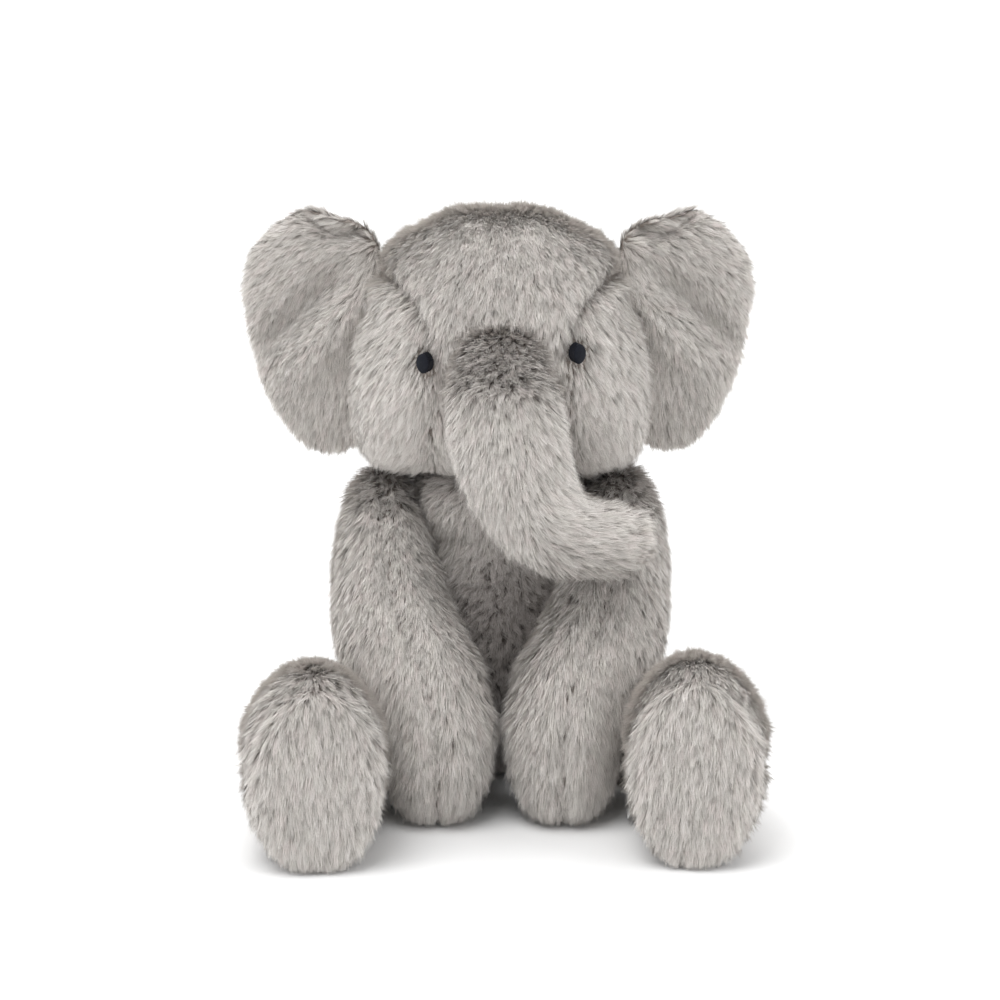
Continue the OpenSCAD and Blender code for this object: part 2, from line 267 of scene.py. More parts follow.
def set_coordinates(mesh, co):
    mesh.vertices.foreach_set("co", co.ravel())
    mesh.update()


def normals(mesh):
    no = np.zeros(len(mesh.vertices) * 3)
    mesh.vertices.foreach_get("normal", no)
    return no.reshape(-1, 3)


def new_object(name, mesh):
    made = bpy.data.objects.new(name, mesh)
    scene.collection.objects.link(made)
    return made


def settle(piece):
    """Applies a piece's modifiers to its mesh."""
    graph = bpy.context.evaluated_depsgraph_get()
    mesh = bpy.data.meshes.new_from_object(piece.evaluated_get(graph))
    piece.modifiers.clear()
    old = piece.data
    piece.data = mesh
    bpy.data.meshes.remove(old)
    return piece


def merged(name, nodes, rolls=()):
    """Copies of CAD nodes in one mesh, with rounded rolls of stuffing where they leave a gap."""
    form = bmesh.new()
    for name_in_frame in nodes:
        form.from_mesh(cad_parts[name_in_frame].data)
    bmesh.ops.remove_doubles(form, verts=form.verts, dist=1e-5)
    for centre, radii in rolls:
        stretch = Matrix.Diagonal((*(Vector(radii) * MM), 1))
        place = Matrix.Translation(Vector(centre) * MM) @ stretch
        bmesh.ops.create_icosphere(form, subdivisions=4, radius=1, matrix=place)
    mesh = bpy.data.meshes.new(name)
    form.to_mesh(mesh)
    form.free()
    return new_object(name, mesh)


def keep_outer(mesh):
    """Keeps the shell with the most points, and drops the hollows inside it."""
    form = bmesh.new()
    form.from_mesh(mesh)
    seen, shells = set(), []
    for start in form.verts:
        if start in seen:
            continue
        shell, front = [], [start]
        seen.add(start)
        while front:
            vertex = front.pop()
            shell.append(vertex)
            for edge in vertex.link_edges:
                other = edge.other_vert(vertex)
                if other not in seen:
                    seen.add(other)
                    front.append(other)
        shells.append(shell)
    shells.sort(key=len)
    for shell in shells[:-1]:
        bmesh.ops.delete(form, geom=shell, context="VERTS")
    form.to_mesh(mesh)
    form.free()


def tree_of(mesh):
    return BVHTree.FromPolygons([v.co for v in mesh.vertices], [p.vertices for p in mesh.polygons])


def smoothed(piece, times):
    smooth = piece.modifiers.new("smooth", "SMOOTH")
    smooth.factor = 0.5
    smooth.iterations = times
    return settle(piece)


def remeshed(piece, voxel, smoothing, hold=True):
    """One closed shell round the piece. Smoothing shrinks it, so it is put back on its surface."""
    remesh = piece.modifiers.new("remesh", "REMESH")
    remesh.mode = "VOXEL"
    remesh.voxel_size = voxel
    settle(piece)
    keep_outer(piece.data)
    shell = tree_of(piece.data)
    smoothed(piece, smoothing)
    if hold:
        for vertex in piece.data.vertices:
            vertex.co = shell.find_nearest(vertex.co)[0]
        smoothed(piece, 2)
    return piece


def panel_distances(mesh, panels):
    """Each point's distance from each panel, one column for each panel."""
    trees = [tree_of(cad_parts[panel].data) for panel in panels]
    return np.array([[tree.find_nearest(v.co)[3] for tree in trees] for v in mesh.vertices])


def puff(piece, seam, cap):
    """Blows the panels out a little with the seams pinned, then limits the swelling."""
    before = coordinates(piece.data)
    group = piece.vertex_groups.new(name="seams")
    for index in np.nonzero(seam > 0.5)[0]:
        group.add([int(index)], float(min(1, seam[index])), "REPLACE")
    cloth = piece.modifiers.new("cloth", "CLOTH")
    cloth.settings.use_pressure = True
    cloth.settings.uniform_pressure_force = PRESSURE
    cloth.settings.effector_weights.gravity = 0
    cloth.settings.vertex_group_mass = "seams"
    cloth.settings.quality = 4
    cloth.point_cache.frame_start = 1
    cloth.point_cache.frame_end = CLOTH_FRAMES
    for number in range(1, CLOTH_FRAMES + 1):
        scene.frame_set(number)
    settle(piece)
    scene.frame_set(1)
    moved = coordinates(piece.data) - before
    far = np.linalg.norm(moved, axis=1, keepdims=True)
    moved *= np.minimum(1, cap / np.maximum(far, 1e-9))
    set_coordinates(piece.data, before + moved)
    piece.vertex_groups.clear()


# %% [markdown]
# ## The lie of the pile
# Plush is brushed, so every lock leans one way, and the way changes from panel to panel. Each skin
# carries that direction as an attribute. Where the pile swirls, it stands up instead, and over
# seams it is short. Where it stands, its colour is also darkened as painted shade: in the swirl
# above the trunk, in the lap, at the top of the torso and at the tops of the arms.

# %% Comb fields
def unit(v):
    return v / np.maximum(np.linalg.norm(v, axis=-1, keepdims=True), 1e-9)


def step(x, low, high):
    """0 below low, 1 above high and smooth between."""
    t = np.clip((x - low) / (high - low), 0, 1)
    return t * t * (3 - 2 * t)


def blob(p, centre, radii):
    """1 at the centre of an ellipsoid, fading to 0 at its surface."""
    q = np.linalg.norm((p - np.array(centre) * MM) / (np.array(radii) * MM), axis=1)
    return 1 - step(q, 0.45, 1.0)


def rows(p, vector):
    return np.tile(np.array(vector, float), (len(p), 1))


def comb_torso(p):
    way = rows(p, (0, 0, -1))
    way[:, 0] += 6 * p[:, 0]
    # Painted shade: the lap between the arms, and a little the top under the head, stand up and are
    # darkened.
    lap = 0.9 * blob(p, (0, -58, 66), (58, 50, 84))
    shoulder = step(p[:, 2], 128 * MM, 145 * MM)
    return way, np.clip(lap + 0.3 * shoulder, 0, 1)


def comb_bridge(p):
    """Above the trunk the pile stands up in a bristly swirl that the forehead's pile runs into, and
    its colour is darkened there as painted shade.
    """
    bridge = 0.3 * blob(p, (0, -84, 222), (46, 44, 34))
    return np.stack([5 * p[:, 0], -0.3 + 0 * p[:, 0], -0.25 + 0 * p[:, 0]], 1), bridge


def comb_head(p):
    side = step(np.abs(p[:, 0]), 24 * MM, 46 * MM)
    way = rows(p, (0, -0.25, -1))
    way[:, 0] += np.sign(p[:, 0]) * 0.55 * side
    way[:, 0] -= (1 - side) * 6 * p[:, 0]
    gusset = np.stack([0.6 * p[:, 0], 215 * MM - p[:, 2], p[:, 1] + 15 * MM], 1)
    over = np.maximum(step(p[:, 2], 232 * MM, 256 * MM), (1 - side) * step(p[:, 1], 0, 25 * MM))
    way = way * (1 - over[:, None]) + unit(gusset) * over[:, None]
    swirl, bridge = comb_bridge(p)
    crown = step(p[:, 2], 256 * MM, 276 * MM)
    return way * (1 - bridge[:, None]) + swirl * bridge[:, None], bridge - 0.3 * crown


def comb_trunk(p):
    curl = step(p[:, 0], 0 * MM, 34 * MM) * (1 - step(p[:, 2], 150 * MM, 185 * MM))
    way = rows(p, (0.15, 0, -1)) * (1 - curl[:, None]) + rows(p, (1, 0, -0.1)) * curl[:, None]
    above = step(p[:, 2], 198 * MM, 212 * MM)[:, None]
    swirl, bridge = comb_bridge(p)
    # Painted shade: the trunk's root takes the swirl's stand, and so its darkening.
    return way * (1 - above) + swirl * above, bridge * above[:, 0]


def comb_arm(p):
    low = 1 - step(p[:, 2], 30 * MM, 80 * MM)
    way = rows(p, (0, -0.55, -0.85)) * (1 - low[:, None]) + rows(p, (0, 0.1, -1)) * low[:, None]
    # Painted shade: the arm's top stands a little and is darkened; the rest lies flatter.
    return way, 0.58 * step(p[:, 2], 128 * MM, 148 * MM) - 0.25


def comb_leg(p):
    sole = step(-p[:, 1], 148 * MM, 172 * MM)
    way = rows(p, (0, -1, -0.1)) * (1 - sole[:, None]) + rows(p, (0, 0, -1)) * sole[:, None]
    return way, -0.3 * step(p[:, 2], 60 * MM, 84 * MM) * (1 - sole)


def comb_ear(p):
    side = np.sign(p[:, 0].mean())
    root = np.array((side * 60, 8, 258)) * MM
    way = unit(p - root) * np.array((1, 0.2, 1)) + rows(p, (0, 0, -0.8))
    return way, 0 * p[:, 0]


def comb_tail(p):
    return rows(p, (0.2, 0.2, -1)), 0 * p[:, 0]


def write(mesh, name, kind, domain, values):
    layer = mesh.attributes.new(name, kind, domain)
    field = "vector" if kind == "FLOAT_VECTOR" else "value"
    layer.data.foreach_set(field, np.asarray(values).ravel())


# %% Make a skin
def filled_out(mesh, fairing, reach):
    """Moves points out to a fairing surface that lies a little way outside them."""
    co, no = coordinates(mesh), normals(mesh)
    for k in range(len(co)):
        way = Vector(no[k])
        hit, face_normal, _, far = fairing.ray_cast(Vector(co[k]), way, reach)
        if hit and face_normal.dot(way) > 0.25:
            co[k] = hit
    set_coordinates(mesh, co)


def make_skin(body, nodes, panels, comb, inset, fairing=None, trim=None, thin=False, rolls=(),
              sculpt=None, furrow=FURROW):
    """One body's backing cloth, with its seams, and the lie of its pile as attributes."""
    voxel, smoothing = (THIN_VOXEL, 3) if thin else (VOXEL, 8)
    piece = remeshed(merged(body + "_skin", nodes, rolls), voxel, smoothing, not thin)
    if fairing:
        filled_out(piece.data, fairing, FAIRING_REACH)
        smoothed(piece, 2)
    reach = np.sort(panel_distances(piece.data, panels), axis=1)
    seam = np.exp(-(reach[:, 1] / SEAM_WIDTH) ** 2) if len(panels) > 1 else np.zeros(len(reach))
    if not thin:
        puff(piece, seam, PUFF_CAP)
    depth = furrow(coordinates(piece.data)) if callable(furrow) else furrow
    co = coordinates(piece.data) - normals(piece.data) * (inset + depth * seam)[:, None]
    co[:, 2] = np.maximum(co[:, 2], FLOOR_GAP)
    set_coordinates(piece.data, co)
    if not thin:
        subdivide = piece.modifiers.new("subdivide", "SUBSURF")
        subdivide.levels = subdivide.render_levels = 1
        settle(piece)
    mesh = piece.data
    co, no = coordinates(mesh), normals(mesh)
    reach = panel_distances(mesh, panels)
    ordered = np.sort(reach, axis=1)
    seam = 0 * co[:, 0]
    if len(panels) > 1:
        seam = np.exp(-((ordered[:, 1] - ordered[:, 0]) / SHORT_WIDTH) ** 2)
    if sculpt:
        set_coordinates(mesh, sculpt(co))
        co, no = coordinates(mesh), normals(mesh)
    way, stand = comb(co)
    way = unit(way - (way * no).sum(1, keepdims=True) * no)
    write(mesh, "comb", "FLOAT_VECTOR", "POINT", way)
    write(mesh, "stand", "FLOAT", "POINT", stand)
    length = 1 - SEAM_SHORTENING * seam
    if trim:
        length *= trim(co)
    write(mesh, "pile", "FLOAT", "POINT", length)
    nearest = reach.argmin(1)
    faces = [int(np.bincount(nearest[list(f.vertices)]).argmax()) for f in mesh.polygons]
    write(mesh, "panel", "INT", "FACE", faces)
    for face in mesh.polygons:
        face.use_smooth = True
    print(body, "skin", len(mesh.vertices), "points")
    return piece


# %% [markdown]
# ## Locks of pile
# A lock is a few dozen fine hairs that lean together. Eight locks are modelled once. A Geometry
# Nodes tree scatters them over one panel of a skin, turns each to the comb direction, stands it up
# where the pile swirls, and varies its size and tint.

# %% Model the locks
LOCK_LENGTH = 10.3 * MM
LOCK_WIDTH = 3.0 * MM
FIBRES = 32
LOCKS = 8
random = np.random.default_rng(7)


def fibre(form, along, shade, root, lean, yaw, length, width, twist):
    """One fine tapering hair that leans over along +X. Its root is broad and its tip is a point."""
    way = Vector((math.cos(lean) * math.cos(yaw), math.cos(lean) * math.sin(yaw), math.sin(lean)))
    across = Vector((-math.sin(yaw), math.cos(yaw), 0))
    across.rotate(Matrix.Rotation(twist, 3, way))
    low = form.verts.new(root - across * width / 2)
    high = form.verts.new(root + across * width / 2)
    tip = form.verts.new(root + way * length)
    low[along] = high[along] = 0
    tip[along] = 1
    low[shade] = high[shade] = tip[shade] = random.random()
    form.faces.new([low, tip, high])


def model_lock(number):
    """Hairs that start apart and lean together, by turns a flatter one and a steeper one."""
    form = bmesh.new()
    along = form.verts.layers.float.new("along")
    shade = form.verts.layers.float.new("shade")
    gather = random.uniform(0.25, 0.75)
    for k in range(FIBRES):
        root = Vector(((random.random() - 0.5) * LOCK_WIDTH,
                       (random.random() - 0.5) * LOCK_WIDTH, 0))
        length = LOCK_LENGTH * random.uniform(0.62, 1.08)
        yaw = -math.atan2(root.y * gather, length) + math.radians(random.normal(0, 7))
        lean = math.radians(random.uniform(15, 25) if k % 2 else random.uniform(24, 38))
        fibre(form, along, shade, root, lean, yaw, length, random.uniform(0.3, 0.55) * MM,
              math.radians(random.uniform(-40, 40)))
    mesh = bpy.data.meshes.new(f"lock_{number}")
    form.to_mesh(mesh)
    form.free()
    return bpy.data.objects.new(mesh.name, mesh)


locks = bpy.data.collections.new("locks")
for number in range(LOCKS):
    locks.objects.link(model_lock(number))


# %% Grow the pile
SOFTNESS = 0.75
PILE_GAP = 0.3 * MM
MOST_LOCKS = 2.0e6


def named(tree, kind, name):
    made = node(tree, "GeometryNodeInputNamedAttribute", data_type=kind)
    made.inputs["Name"].default_value = name
    return made.outputs["Attribute"]


def sprinkle(tree, low, high, seed):
    made = node(tree, "FunctionNodeRandomValue", data_type="FLOAT")
    made.inputs[2].default_value = low
    made.inputs[3].default_value = high
    made.inputs["Seed"].default_value = seed
    return made.outputs[1]


def maths(tree, operation, *values):
    made = node(tree, "ShaderNodeMath", operation=operation)
    for socket, value in zip(made.inputs, values):
        feed(tree, socket, value)
    return made.outputs[0]


def pile_tree():
    tree = bpy.data.node_groups.new("grow_pile", "GeometryNodeTree")
    face = tree.interface
    face.new_socket("Skin", in_out="INPUT", socket_type="NodeSocketGeometry")
    face.new_socket("Panel", in_out="INPUT", socket_type="NodeSocketInt")
    face.new_socket("Spacing", in_out="INPUT", socket_type="NodeSocketFloat")
    face.new_socket("Length", in_out="INPUT", socket_type="NodeSocketFloat")
    face.new_socket("Seed", in_out="INPUT", socket_type="NodeSocketInt")
    face.new_socket("Pile", in_out="OUTPUT", socket_type="NodeSocketGeometry")
    link = tree.links.new
    given = node(tree, "NodeGroupInput")
    result = node(tree, "NodeGroupOutput")

    same = node(tree, "FunctionNodeCompare", data_type="INT", operation="EQUAL")
    link(named(tree, "INT", "panel"), same.inputs[2])
    link(given.outputs["Panel"], same.inputs[3])
    scatter = node(tree, "GeometryNodeDistributePointsOnFaces", distribute_method="POISSON")
    link(given.outputs["Skin"], scatter.inputs["Mesh"])
    link(same.outputs[0], scatter.inputs["Selection"])
    link(given.outputs["Spacing"], scatter.inputs["Distance Min"])
    scatter.inputs["Density Max"].default_value = MOST_LOCKS
    link(given.outputs["Seed"], scatter.inputs["Seed"])

    lie = node(tree, "FunctionNodeAxesToRotation", primary_axis="Z", secondary_axis="X")
    link(scatter.outputs["Normal"], lie.inputs[0])
    link(named(tree, "FLOAT_VECTOR", "comb"), lie.inputs[1])
    stand = named(tree, "FLOAT", "stand")
    tilt = maths(tree, "ADD", sprinkle(tree, -0.16, 0.2, 3), maths(tree, "MULTIPLY", stand, -0.62))
    wild = maths(tree, "ADD", 0.22, maths(tree, "MULTIPLY", stand, 0.9))
    yaw = maths(tree, "MULTIPLY", sprinkle(tree, -1, 1, 4), wild)
    turn = node(tree, "ShaderNodeCombineXYZ")
    link(sprinkle(tree, -0.2, 0.2, 5), turn.inputs["X"])
    link(tilt, turn.inputs["Y"])
    link(yaw, turn.inputs["Z"])
    euler = node(tree, "FunctionNodeEulerToRotation")
    link(turn.outputs[0], euler.inputs[0])
    turned = node(tree, "FunctionNodeRotateRotation", rotation_space="LOCAL")
    link(lie.outputs[0], turned.inputs[0])
    link(euler.outputs[0], turned.inputs[1])

    size = maths(tree, "MULTIPLY", maths(tree, "MULTIPLY", sprinkle(tree, 0.75, 1.15, 6),
                                         named(tree, "FLOAT", "pile")), given.outputs["Length"])
    source = node(tree, "GeometryNodeCollectionInfo")
    source.inputs["Collection"].default_value = locks
    source.inputs["Separate Children"].default_value = True
    source.inputs["Reset Children"].default_value = True
    plant = node(tree, "GeometryNodeInstanceOnPoints")
    up = node(tree, "GeometryNodeStoreNamedAttribute", data_type="FLOAT_VECTOR", domain="POINT")
    up.inputs["Name"].default_value = "up"
    link(scatter.outputs["Points"], up.inputs["Geometry"])
    link(scatter.outputs["Normal"], up.inputs["Value"])
    # Painted shade: how far each lock stands is stored, and the finish darkens the lock by it.
    deep = node(tree, "GeometryNodeStoreNamedAttribute", data_type="FLOAT", domain="POINT")
    deep.inputs["Name"].default_value = "deep"
    link(up.outputs[0], deep.inputs["Geometry"])
    link(stand, deep.inputs["Value"])
    link(deep.outputs[0], plant.inputs["Points"])
    link(source.outputs[0], plant.inputs["Instance"])
    plant.inputs["Pick Instance"].default_value = True
    link(turned.outputs[0], plant.inputs["Rotation"])
    link(size, plant.inputs["Scale"])
    tint = node(tree, "GeometryNodeStoreNamedAttribute", data_type="FLOAT", domain="INSTANCE")
    tint.inputs["Name"].default_value = "tint"
    link(plant.outputs[0], tint.inputs["Geometry"])
    link(sprinkle(tree, 0, 1, 8), tint.inputs["Value"])
    real = node(tree, "GeometryNodeRealizeInstances")
    link(tint.outputs[0], real.inputs[0])
    paint = node(tree, "GeometryNodeSetMaterial")
    paint.inputs["Material"].default_value = plain_pile
    link(real.outputs[0], paint.inputs["Geometry"])
    link(paint.outputs[0], result.inputs[0])
    return tree


grow = pile_tree()
sockets = {item.name: item.identifier for item in grow.interface.items_tree
           if item.in_out == "INPUT"}


def grow_pile(name, skin, panel, spacing, length, seed):
    """The pile of one panel of a skin, as a plain mesh."""
    piece = new_object(name, skin.data.copy())
    modifier = piece.modifiers.new("pile", "NODES")
    modifier.node_group = grow
    modifier[sockets["Panel"]] = panel
    modifier[sockets["Spacing"]] = spacing
    modifier[sockets["Length"]] = length
    modifier[sockets["Seed"]] = seed
    settle(piece)
    mesh = piece.data
    co = coordinates(mesh)
    co[:, 2] = np.maximum(co[:, 2], PILE_GAP)
    set_coordinates(mesh, co)
    up = np.zeros(len(co) * 3)
    mesh.attributes["up"].data.foreach_get("vector", up)
    soft = unit(SOFTNESS * unit(up.reshape(-1, 3)) + (1 - SOFTNESS) * normals(mesh))
    for extra in ("comb", "stand", "pile", "panel", "up"):
        if extra in mesh.attributes:
            mesh.attributes.remove(mesh.attributes[extra])
    for face in mesh.polygons:
        face.use_smooth = True
    mesh.normals_split_custom_set_from_vertices(soft)
    dress(piece, plain_pile, patterned_pile)
    if name.removesuffix("_pile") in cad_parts:
        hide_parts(name.removesuffix("_pile"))
    return piece


# %% Bodies
FACING, HIDDEN = 1.62 * MM, 2.05 * MM
seeds = iter(range(1, 100))
triangles = 0


def dress_body(body, nodes, panels, comb, inset, spacings, length, blend=None, fairing=None,
               trim=None, thin=False, rolls=(), sculpt=None, furrow=FURROW):
    """Makes a body's skin and piles, and hangs them on the body; given a blend, it leaves them
    unparented in world space instead.
    """
    global triangles
    skin = make_skin(body, nodes, panels, comb, inset, fairing, trim, thin, rolls,
                     sculpt, furrow)
    made = [skin]
    for number, (panel, spacing) in enumerate(zip(panels, spacings)):
        pile = grow_pile(panel + "_pile", skin, number, spacing, length, next(seeds))
        count = sum(len(f.vertices) - 2 for f in pile.data.polygons)
        triangles += count
        print(pile.name, count, "triangles")
        made.append(pile)
    for extra in ("comb", "stand", "pile", "panel"):
        skin.data.attributes.remove(skin.data.attributes[extra])
    dress(skin, plain_backing, patterned_backing)
    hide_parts(*nodes)
    for piece in made:
        if blend:
            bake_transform(piece)
        else:
            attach(piece, body)


# %% [markdown]
# ## The torso
# A pear-shaped bag of four panels that widens to the seat. Its pile is brushed down, and its locks
# are set closer in front than behind. A roll of stuffing closes the neck under the head.

# %% Torso
dress_body("torso",
           ["belly_panel", "back_panel_left", "back_panel_right", "seat_panel", "body_stuffing",
            "pellet_bag"],
           ["belly_panel", "back_panel_left", "back_panel_right", "seat_panel"],
           comb_torso, 0.6 * MM, [FACING, HIDDEN, HIDDEN, 5 * MM], 1.0,
           rolls=[((0, -9, 137), (47, 32, 23))])

# %% [markdown]
# ## The head
# A gusset runs over the crown between two cheeks, and a chin panel closes it below. The gusset's
# pile runs from the nape over the crown to the brow. The cheeks' pile lies down and outwards, and
# above the trunk it swirls upright. It is trimmed round the eyes so that they show.

# %% Head
eyes = {}
for side in ("left", "right"):
    low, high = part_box("eye_" + side)
    eyes[side] = (low + high) / 2


def short_round_eyes(p):
    """Shorter pile round each eye, and most of all above it, where locks would hang over it."""
    length = np.ones(len(p))
    for place in eyes.values():
        away = (p - np.array(place) - np.array((0, 0, 2)) * MM) / (np.array((6, 14, 8)) * MM)
        length *= 0.3 + 0.7 * step(np.linalg.norm(away, axis=1), 0.7, 1.6)
    return length


def eye_to_ear(p):
    """The gusset's seam pulls in deepest between the eyes and the ears."""
    return (0.5 + 5 * step(p[:, 2], 212 * MM, 226 * MM)) * MM


def full_crown(p):
    """Fills the head out where the gusset meets the ears."""
    high = step(p[:, 2], 232 * MM, 252 * MM) * (1 - step(p[:, 2], 264 * MM, 282 * MM))
    corner = high * step(np.abs(p[:, 0]), 25 * MM, 48 * MM)
    moved = p.copy()
    moved[:, 0] += np.sign(p[:, 0]) * 6 * MM * corner
    moved[:, 2] += 3 * MM * corner
    return moved


face = remeshed(merged("face_fairing", [
    "head_gusset", "chin_panel", "cheek_panel_left", "cheek_panel_right", "head_stuffing",
    "trunk_top_panel", "trunk_under_panel", "trunk_stuffing", "trunk_end_cap"]), VOXEL, 90, False)
face_fairing = tree_of(face.data)
bpy.data.objects.remove(face)
dress_body("head",
           ["head_gusset", "chin_panel", "cheek_panel_left", "cheek_panel_right", "head_stuffing"],
           ["head_gusset", "chin_panel", "cheek_panel_left", "cheek_panel_right"],
           comb_head, 1.2 * MM, [FACING, HIDDEN, FACING, FACING], 1.0,
           fairing=face_fairing, trim=short_round_eyes, sculpt=full_crown, furrow=eye_to_ear)

# %% [markdown]
# ## The trunk
# A curved tube of an upper and an under panel, closed by a small disc. Its skin is filled out to
# the face's fairing and its root leans back into the brow, so the cheeks flow into it without a
# step.

# %% Trunk
def short_at_root(p):
    """The trunk's pile is a little shorter where the forehead's takes over."""
    return 1 - 0.2 * step(p[:, 2], 214 * MM, 230 * MM)


def sloping_root(p):
    """Leans the trunk's rounded root back into the brow, above its seam."""
    moved = p.copy()
    moved[:, 1] += 0.85 * np.maximum(p[:, 2] - 209 * MM, 0)
    return moved


dress_body("trunk",
           ["trunk_top_panel", "trunk_under_panel", "trunk_stuffing", "trunk_end_cap"],
           ["trunk_top_panel", "trunk_under_panel", "trunk_end_cap"],
           comb_trunk, -0.5 * MM, [FACING, FACING, FACING], 0.95,
           ("head", "trunk", (0, -0.070, 0.222), (0.002, -0.090, 0.185)), face_fairing,
           short_at_root, sculpt=sloping_root)

# %% [markdown]
# ## Arms and legs
# Each limb is a sleeve of two panels, and each foot ends in an oval sole.

# %% Arms
def rounded_ends(p):
    """Draws an arm's ends in: the hand rests on the floor as a ball does, the shoulder slopes."""
    side = np.sign(p[:, 0].mean())
    moved = p.copy()
    hand = (np.array((side * 31, -104)), (26 * MM - p[:, 2]) / (26 * MM), 0.74)
    shoulder = (np.array((side * 57, -8)), (p[:, 2] - 122 * MM) / (36 * MM), 0.86)
    for middle, reach, depth in (hand, shoulder):
        end = np.sqrt(1 - (depth * np.clip(reach, 0, 1)) ** 2)[:, None]
        moved[:, :2] = middle * MM + (moved[:, :2] - middle * MM) * end
    return moved


def settled_foot(p):
    """Brings the toe end of a foot down to the floor."""
    toe = step(-p[:, 1], 130 * MM, 172 * MM) * (1 - step(p[:, 2], 4 * MM, 50 * MM))
    moved = p.copy()
    moved[:, 2] = np.maximum(p[:, 2] - 6 * MM * toe, FLOOR_GAP)
    return moved


for side, sign in (("left", 1), ("right", -1)):
    arm = "arm_" + side
    dress_body(arm, [arm + "_outer", arm + "_inner", arm + "_stuffing"],
               [arm + "_outer", arm + "_inner"], comb_arm, -1.5 * MM, [FACING, 2.0 * MM], 1.0,
               ("torso", arm, (sign * 0.058, -0.006, 0.150), (sign * 0.058, -0.028, 0.122)),
               sculpt=rounded_ends)

# %% Legs
for side, sign in (("left", 1), ("right", -1)):
    leg = "leg_" + side
    dress_body(leg, [leg + "_upper", leg + "_under", leg + "_sole", leg + "_stuffing"],
               [leg + "_upper", leg + "_under", leg + "_sole"], comb_leg, -1.5 * MM,
               [FACING, 3 * MM, FACING], 1.0,
               ("torso", leg, (sign * 0.042, -0.038, 0.034), (sign * 0.062, -0.062, 0.034)),
               sculpt=settled_foot)

# %% [markdown]
# ## Ears and tail
# An ear is two panels sewn round the edge with almost nothing between them. Its pile fans out
# from the root.

# %% Ears
def cup(p):
    """Rolls an ear's upper edge forwards, and presses a valley from its root to its outer edge."""
    u, z = np.abs(p[:, 0]) / MM, p[:, 2] / MM
    root, far = np.array((70.0, 247.0)), np.array((113.0, 209.0))
    way = (far - root) / np.linalg.norm(far - root)
    run = (u - root[0]) * way[0] + (z - root[1]) * way[1]
    off = (u - root[0]) * -way[1] + (z - root[1]) * way[0]
    span = step(run, -8, 12) * (1 - step(run, 44, 62))
    valley = span * np.exp(-((off - 7) / 8) ** 2)
    ridge = step(run, -4, 14) * (1 - step(run, 40, 66)) * np.exp(-((off + 8) / 8) ** 2)
    above = z - 0.55 * u
    near = 1 - step(u, 92, 108)
    roll = step(above, 226.5, 231) * near
    groove = np.exp(-((above - 225) / 3) ** 2) * near
    moved = p.copy()
    moved[:, 1] += (7 * valley - 5 * ridge - 7 * roll + 3 * groove) * MM
    inner = 1 - step(u, 62, 84)
    lobe = (1 - step(u, 80, 120)) * (1 - step(z, 188, 240)) * step(u, 60, 70)
    moved[:, 0] -= np.sign(p[:, 0]) * (6 * inner * step(z, 225, 250) + 12 * lobe) * MM
    moved[:, 2] += (9 * inner * step(z, 235, 262) - 5 * (1 - step(z, 172, 235))) * MM
    return moved


for side, sign in (("left", 1), ("right", -1)):
    ear = "ear_" + side
    dress_body(ear, [ear + "_front", ear + "_back"], [ear + "_front", ear + "_back"], comb_ear,
               -0.6 * MM, [FACING, 1.9 * MM], 0.85,
               ("head", ear, (sign * 0.060, 0.0, 0.250), (sign * 0.074, 0.0, 0.245)),
               thin=True, sculpt=cup)

# %% Tail
dress_body("tail", ["tail_tube", "tail_tuft"], ["tail_tube", "tail_tuft"], comb_tail, 0.2 * MM,
           [1.8 * MM, 1.8 * MM], 0.7, thin=True)

# %% [markdown]
# ## Embroidered eyes
# The eyes are satin stitch: matt navy threads laid side by side over a small raised oval. Each
# thread is its own little half-round strip, so the oval catches light in fine lines.

# %% Eyes
def thread_finish(name, colour, rough):
    dark = tuple(0.6 * x for x in colour)
    return grained(plain_finish(name, colour, rough), 2500, [(0.35, dark), (0.65, colour)])


eye_thread = thread_finish("eye_thread_satin", (0.012, 0.014, 0.022), 0.5)
sewing_thread = thread_finish("sewing_thread", (0.42, 0.40, 0.38), 0.8)
THREADS = 17
EYE_DEPTH = 5.0 * MM
EYE_SHIFT = (0.4 * MM, -3.2 * MM, 0.8 * MM)
EYE_TURN, EYE_TILT = math.radians(28), math.radians(4)
EYE_STEPS = 8


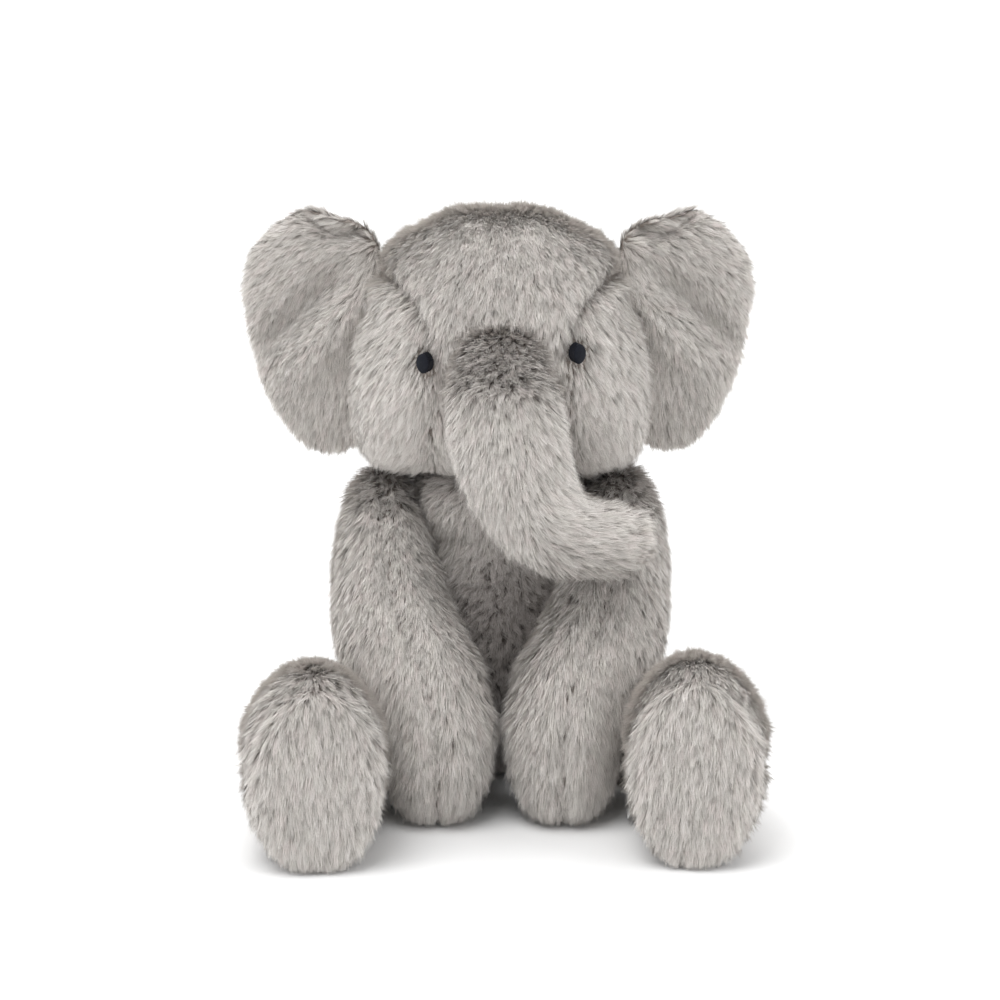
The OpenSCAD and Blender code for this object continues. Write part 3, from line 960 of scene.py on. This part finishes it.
def add_eye(side):
    """A domed oval of upright threads that stands on the skin."""
    low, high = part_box("eye_" + side)
    middle = (low + high) / 2
    half_w, half_h = (high.x - low.x) / 2, (high.z - low.z) / 2
    sign = 1 if side == "left" else -1
    form = bmesh.new()
    for k in range(THREADS):
        a = (k + 0.5) / THREADS * 2 - 1
        reach = half_h * math.sqrt(1 - a * a)
        rings = []
        for j in range(EYE_STEPS + 1):
            b = j / EYE_STEPS * 2 - 1
            swell = (1 - a * a) * (1 - b * b)
            ring = []
            for i in range(5):
                turn = math.pi * i / 4
                x = a * half_w + half_w / THREADS * 1.1 * math.cos(turn)
                y = -0.9 * MM * math.sqrt(max(swell, 0)) - 0.25 * MM * math.sin(turn)
                ring.append((x, y, reach * b))
            ring.append((a * half_w, EYE_DEPTH, reach * b))
            rings.append([form.verts.new(v) for v in ring])
        for one, two in zip(rings, rings[1:]):
            for i in range(6):
                form.faces.new([one[i], one[(i + 1) % 6], two[(i + 1) % 6], two[i]])
        form.faces.new(rings[0])
        form.faces.new(reversed(rings[-1]))
    bmesh.ops.recalc_face_normals(form, faces=form.faces)
    mesh = bpy.data.meshes.new("eye_" + side + "_satin")
    form.to_mesh(mesh)
    form.free()
    turn = Matrix.Rotation(sign * EYE_TURN, 4, "Z") @ Matrix.Rotation(EYE_TILT, 4, "X")
    place = Matrix.Translation(middle + Vector((sign * EYE_SHIFT[0], *EYE_SHIFT[1:])))
    mesh.transform(place @ turn)
    piece = new_object("eye_" + side + "_satin", mesh)
    mesh.materials.append(eye_thread)
    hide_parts("eye_" + side)
    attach(piece, "head")
    print(piece.name, len(mesh.polygons), "faces")


add_eye("left")
add_eye("right")

# %% [markdown]
# ## The care label
# A folded satin tape sewn into the left leg's seam. It stays blank.

# %% Care label
def tape_finish():
    material = plain_finish("label_tape_satin", (0.86, 0.86, 0.85), 0.45)
    tree = material.node_tree
    place = node(tree, "ShaderNodeTexCoord").outputs["Object"]
    wave = node(tree, "ShaderNodeTexWave", bands_direction="Z")
    wave.inputs["Scale"].default_value = 900
    tree.links.new(place, wave.inputs["Vector"])
    weave = ramp(tree, wave.outputs["Fac"], [(0.2, (0.80, 0.80, 0.79)), (0.8, (0.9, 0.9, 0.89))])
    tree.links.new(weave, tree.nodes["Principled BSDF"].inputs["Base Color"])
    return material


LABEL_COLUMNS, LABEL_ROWS = 8, 12
LABEL_BEND = 0.8 * MM


def add_label():
    """A thin tape over the CAD label's sloping face, bowed a little outwards."""
    low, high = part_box("care_label")
    wide = high.y - low.y
    slope = Vector((high.x - low.x, 0, high.z - low.z))
    form = bmesh.new()
    grid = []
    for j in range(LABEL_ROWS + 1):
        v = j / LABEL_ROWS
        line = []
        for i in range(LABEL_COLUMNS + 1):
            u = i / LABEL_COLUMNS
            place = low + Vector((0, wide * u, 0)) + slope * v
            place.x += LABEL_BEND * math.sin(3 * v) * (0.4 + u)
            line.append(form.verts.new(place))
        grid.append(line)
    for one, two in zip(grid, grid[1:]):
        for a, b, c, d in zip(one, one[1:], two[1:], two):
            form.faces.new([a, b, c, d])
    mesh = bpy.data.meshes.new("care_label_tape")
    form.to_mesh(mesh)
    form.free()
    piece = new_object("care_label_tape", mesh)
    wall = piece.modifiers.new("wall", "SOLIDIFY")
    wall.thickness = 0.35 * MM
    wall.offset = 0
    settle(piece)
    piece.data.materials.append(tape_finish())
    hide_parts("care_label")
    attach(piece, "leg_left")


add_label()
for name in ("closing_stitches", "neck_thread"):
    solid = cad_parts[name]
    for place in solid.material_slots:
        place.material = sewing_thread

# %% [markdown]
# ## Floor and light
# One broad soft light above, one on each side, one behind and a bright surround give the even
# light of a product table, and the side lights keep the cheeks as bright as the brow. The floor
# is a plain pale sheet that rises behind.

# %% Floor and lights
def add_floor():
    form = bmesh.new()
    lines = []
    for x in (-4, 4):
        line = [(x, -4, 0)] + [(x, 1.2 + 0.8 * math.sin(a), 0.8 - 0.8 * math.cos(a))
                               for a in (math.pi / 2 * k / 12 for k in range(13))] + [(x, 2, 5)]
        lines.append([form.verts.new(v) for v in line])
    for a, b, c, d in zip(lines[0], lines[1], lines[1][1:], lines[0][1:]):
        form.faces.new([a, b, c, d])
    mesh = bpy.data.meshes.new("floor")
    form.to_mesh(mesh)
    form.free()
    for face in mesh.polygons:
        face.use_smooth = True
    floor = new_object("floor", mesh)
    mesh.materials.append(plain_finish("floor_paper", (0.9, 0.9, 0.9), 0.9))


def add_light(name, place, size, power):
    data = bpy.data.lights.new(name, "AREA")
    data.size = size
    data.energy = power
    light = bpy.data.objects.new(name, data)
    scene.collection.objects.link(light)
    light.location = place
    light.rotation_euler = (look_at - Vector(place)).to_track_quat("-Z", "Y").to_euler()


add_floor()
add_light("key", (-0.5, -0.7, 2.2), 1.4, 30)
add_light("left", (-1.9, -0.7, 0.8), 1.4, 14)
add_light("right", (1.9, -0.7, 0.8), 1.4, 15)
add_light("back", (0.3, 1.1, 1.9), 1.6, 14)
world = bpy.data.worlds.new("surround")
world.use_nodes = True
world.node_tree.nodes["Background"].inputs["Color"].default_value = (1, 1, 1, 1)
world.node_tree.nodes["Background"].inputs["Strength"].default_value = 0.68
scene.world = world
scene.view_settings.view_transform = "Standard"
scene.view_settings.exposure = 0.0

# %% Finish
print("pile triangles", triangles)
print("CAD box", [round(x, 4) for x in (*cad_low, *cad_high)])
